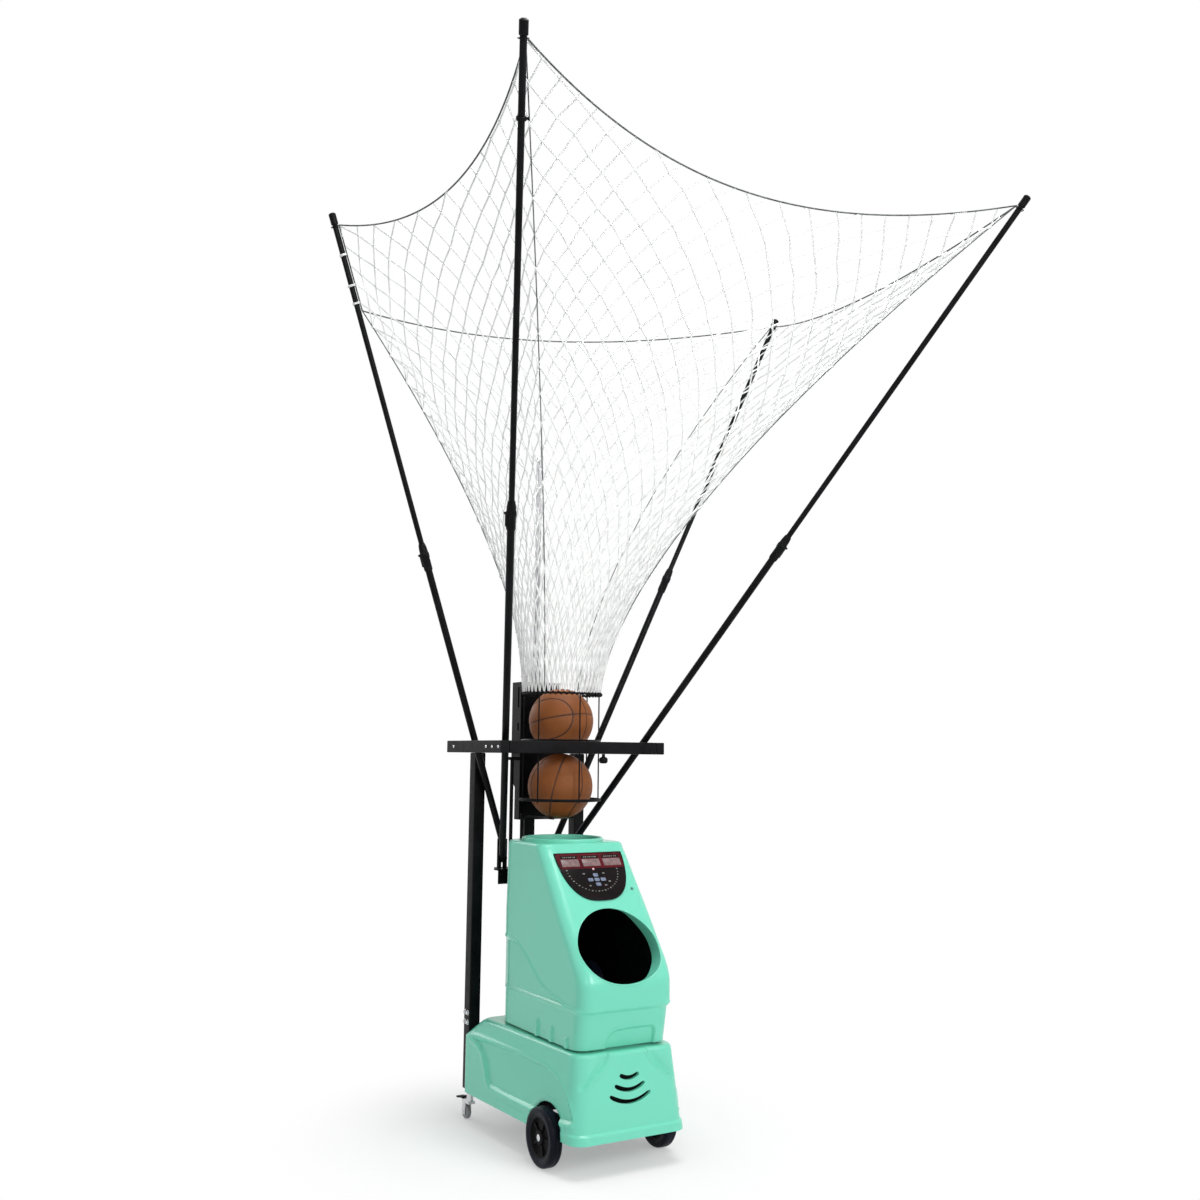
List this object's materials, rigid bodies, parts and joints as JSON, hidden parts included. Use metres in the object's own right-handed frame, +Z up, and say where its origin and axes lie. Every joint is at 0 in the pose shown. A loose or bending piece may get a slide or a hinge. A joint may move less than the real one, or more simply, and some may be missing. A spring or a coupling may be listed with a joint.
{
  "type": "basketball shooting machine",
  "caption": "Wheeled ball launcher under a wire ball cage, with a funnel net held up on folding, telescoping poles.",
  "frame": {"origin": "middle of the whole machine's footprint, net and poles up, on the floor", "axes": "+Z up, -Y towards the front where balls leave, +X to the machine's own left as it faces the player"},
  "size_m": [2.0212, 1.8404, 3.2627],
  "materials": {
    "mint_shell": "glossy moulded shell",
    "black_steel": "satin powder coat",
    "bright_steel": "bright plated",
    "black_plastic": "fine matt",
    "tyre": "matt rubber",
    "caster_wheel": "smooth grey",
    "net_cord": "knotted white cord",
    "ball": "pebbled",
    "panel": "printed film",
    "display": "display window",
    "key": "soft satin",
    "lamp": "clear lens"
  },
  "bodies": {
    "root": {"base_cover": "mint_shell", "chassis": "black_steel", "column_left": "black_steel", "column_right": "black_steel", "mast": "black_steel", "frame_front": "black_steel", "frame_rear": "black_steel", "frame_side_left": "black_steel", "frame_side_right": "black_steel", "pole_bracket": "black_steel", "feeder_housing": "black_steel", "net_post": "black_steel", "ball_cage": "black_steel", "outer_conduit": "black_steel", "inner_conduit": "black_steel", "turntable_ring": "bright_steel", "power_inlet": "black_plastic", "ball_net": "net_cord"},
    "launcher": {"hull": "mint_shell", "hopper_collar": "mint_shell", "turntable_plate": "black_steel", "throwing_motor": "bright_steel", "control_panel": "panel", "display_left": "display", "display_middle": "display", "display_right": "display", "status_lamp": "lamp"},
    "throwing_drive": {"throwing_wheels": "tyre"},
    "up_key": {"key_up": "key"},
    "down_key": {"key_down": "key"},
    "left_key": {"key_left": "key"},
    "right_key": {"key_right": "key"},
    "start_key": {"key_start": "key"},
    "knob": {"frame_knob": "black_plastic"},
    "switch": {"power_switch": "black_plastic"},
    "left_front_wheel": {"front_wheel_left": "tyre"},
    "right_front_wheel": {"front_wheel_right": "tyre"},
    "left_caster": {"caster_fork_left": "bright_steel"},
    "right_caster": {"caster_fork_right": "bright_steel"},
    "left_caster_wheel": {"caster_wheel_left": "caster_wheel"},
    "right_caster_wheel": {"caster_wheel_right": "caster_wheel"},
    "left_brake": {"brake_pedal_left": "black_plastic"},
    "right_brake": {"brake_pedal_right": "black_plastic"},
    "left_gate": {"gate_finger_left": "bright_steel"},
    "right_gate": {"gate_finger_right": "bright_steel"},
    "loaded_balls": {"ball_lower": "ball", "ball_upper": "ball"},
    "front_left_pole": {"lower_pole_front_left": "black_steel", "collar_front_left": "black_plastic"},
    "front_right_pole": {"lower_pole_front_right": "black_steel", "collar_front_right": "black_plastic"},
    "rear_left_pole": {"lower_pole_rear_left": "black_steel", "collar_rear_left": "black_plastic"},
    "rear_right_pole": {"lower_pole_rear_right": "black_steel", "collar_rear_right": "black_plastic"},
    "front_left_top": {"upper_pole_front_left": "black_steel"},
    "front_right_top": {"upper_pole_front_right": "black_steel"},
    "rear_left_top": {"upper_pole_rear_left": "black_steel"},
    "rear_right_top": {"upper_pole_rear_right": "black_steel"}
  },
  "joints": [
    {"name": "launcher_swivel", "type": "hinge", "parent": "root", "child": "launcher", "pos_m": [0, 0.56117, 0.41], "axis": [0, 0, 1], "range_deg": [-65, 65]},
    {"name": "throwing_spin", "type": "hinge", "parent": "launcher", "child": "throwing_drive", "pos_m": [0, 0.43117, 0.53], "axis": [1, 0, 0], "continuous": true},
    {"name": "up_key_press", "type": "slide", "parent": "launcher", "child": "up_key", "axis": [0, 0.7947, -0.607], "range_m": [0, 0.001], "stiffness_N_per_m": 1500, "springref_m": -0.0003},
    {"name": "down_key_press", "type": "slide", "parent": "launcher", "child": "down_key", "axis": [0, 0.7947, -0.607], "range_m": [0, 0.001], "stiffness_N_per_m": 1500, "springref_m": -0.0003},
    {"name": "left_key_press", "type": "slide", "parent": "launcher", "child": "left_key", "axis": [0, 0.7947, -0.607], "range_m": [0, 0.001], "stiffness_N_per_m": 1500, "springref_m": -0.0003},
    {"name": "right_key_press", "type": "slide", "parent": "launcher", "child": "right_key", "axis": [0, 0.7947, -0.607], "range_m": [0, 0.001], "stiffness_N_per_m": 1500, "springref_m": -0.0003},
    {"name": "start_key_press", "type": "slide", "parent": "launcher", "child": "start_key", "axis": [0, 0.7947, -0.607], "range_m": [0, 0.001], "stiffness_N_per_m": 1500, "springref_m": -0.0003},
    {"name": "knob_turn", "type": "hinge", "parent": "root", "child": "knob", "pos_m": [0.086, 0.38717, 1.3722], "axis": [0, 0, 1], "continuous": true},
    {"name": "switch_rock", "type": "hinge", "parent": "root", "child": "switch", "pos_m": [0.1, 0.82917, 0.24], "axis": [1, 0, 0], "range_deg": [-8, 8]},
    {"name": "left_front_wheel_spin", "type": "hinge", "parent": "root", "child": "left_front_wheel", "pos_m": [-0.2285, 0.22617, 0.097], "axis": [1, 0, 0], "continuous": true},
    {"name": "right_front_wheel_spin", "type": "hinge", "parent": "root", "child": "right_front_wheel", "pos_m": [0.2285, 0.22617, 0.097], "axis": [1, 0, 0], "continuous": true},
    {"name": "left_caster_swivel", "type": "hinge", "parent": "root", "child": "left_caster", "pos_m": [-0.222, 0.82617, 0.115], "axis": [0, 0, 1], "continuous": true},
    {"name": "right_caster_swivel", "type": "hinge", "parent": "root", "child": "right_caster", "pos_m": [0.222, 0.82617, 0.115], "axis": [0, 0, 1], "continuous": true},
    {"name": "left_caster_roll", "type": "hinge", "parent": "left_caster", "child": "left_caster_wheel", "pos_m": [-0.222, 0.85417, 0.0265], "axis": [1, 0, 0], "continuous": true},
    {"name": "right_caster_roll", "type": "hinge", "parent": "right_caster", "child": "right_caster_wheel", "pos_m": [0.222, 0.85417, 0.0265], "axis": [1, 0, 0], "continuous": true},
    {"name": "left_brake_press", "type": "hinge", "parent": "left_caster", "child": "left_brake", "pos_m": [-0.222, 0.87417, 0.073], "axis": [-1, 0, 0], "range_deg": [0, 12]},
    {"name": "right_brake_press", "type": "hinge", "parent": "right_caster", "child": "right_brake", "pos_m": [0.222, 0.87417, 0.073], "axis": [-1, 0, 0], "range_deg": [0, 12]},
    {"name": "left_gate_swing", "type": "hinge", "parent": "root", "child": "left_gate", "pos_m": [-0.078, 0.71987, 1.13], "axis": [0, 0, -1], "range_deg": [0, 40]},
    {"name": "right_gate_swing", "type": "hinge", "parent": "root", "child": "right_gate", "pos_m": [0.078, 0.71987, 1.13], "axis": [0, 0, 1], "range_deg": [0, 40]},
    {"name": "ball_lift_out", "type": "slide", "parent": "root", "child": "loaded_balls", "axis": [0, 0, 1], "range_m": [0, 0.6]},
    {"name": "front_left_pole_fold", "type": "hinge", "parent": "root", "child": "front_left_pole", "pos_m": [-0.135, 0.76917, 0.97], "axis": [-0.8988, 0.4384, 0], "range_deg": [0, 33], "deforming": ["ball_net"]},
    {"name": "front_right_pole_fold", "type": "hinge", "parent": "root", "child": "front_right_pole", "pos_m": [0.135, 0.76917, 0.97], "axis": [-0.8988, -0.4384, 0], "range_deg": [0, 33]},
    {"name": "rear_left_pole_fold", "type": "hinge", "parent": "root", "child": "rear_left_pole", "pos_m": [-0.118, 0.80717, 1.03], "axis": [-0.3448, 0.9387, 0], "range_deg": [0, 13]},
    {"name": "rear_right_pole_fold", "type": "hinge", "parent": "root", "child": "rear_right_pole", "pos_m": [0.118, 0.80717, 1.03], "axis": [-0.3448, -0.9387, 0], "range_deg": [0, 13]},
    {"name": "front_left_pole_slide", "type": "slide", "parent": "front_left_pole", "child": "front_left_top", "axis": [0.2777, 0.5693, -0.7738], "range_m": [0, 1.25]},
    {"name": "front_right_pole_slide", "type": "slide", "parent": "front_right_pole", "child": "front_right_top", "axis": [-0.2777, 0.5693, -0.7738], "range_m": [0, 1.25]},
    {"name": "rear_left_pole_slide", "type": "slide", "parent": "rear_left_pole", "child": "rear_left_top", "axis": [0.3645, 0.1339, -0.9215], "range_m": [0, 1]},
    {"name": "rear_right_pole_slide", "type": "slide", "parent": "rear_right_pole", "child": "rear_right_top", "axis": [-0.3645, 0.1339, -0.9215], "range_m": [0, 1]}
  ],
  "couplings": [
    {"joint": "right_gate_swing", "follows": "left_gate_swing", "ratio": 1},
    {"joint": "front_right_pole_fold", "follows": "front_left_pole_fold", "ratio": 1},
    {"joint": "rear_left_pole_fold", "follows": "front_left_pole_fold", "ratio": 0.385},
    {"joint": "rear_right_pole_fold", "follows": "front_left_pole_fold", "ratio": 0.385},
    {"joint": "front_left_pole_slide", "follows": "front_left_pole_fold", "m_per_rad": 2.16},
    {"joint": "front_right_pole_slide", "follows": "front_left_pole_fold", "m_per_rad": 2.16},
    {"joint": "rear_left_pole_slide", "follows": "front_left_pole_fold", "m_per_rad": 1.73},
    {"joint": "rear_right_pole_slide", "follows": "front_left_pole_fold", "m_per_rad": 1.73}
  ]
}
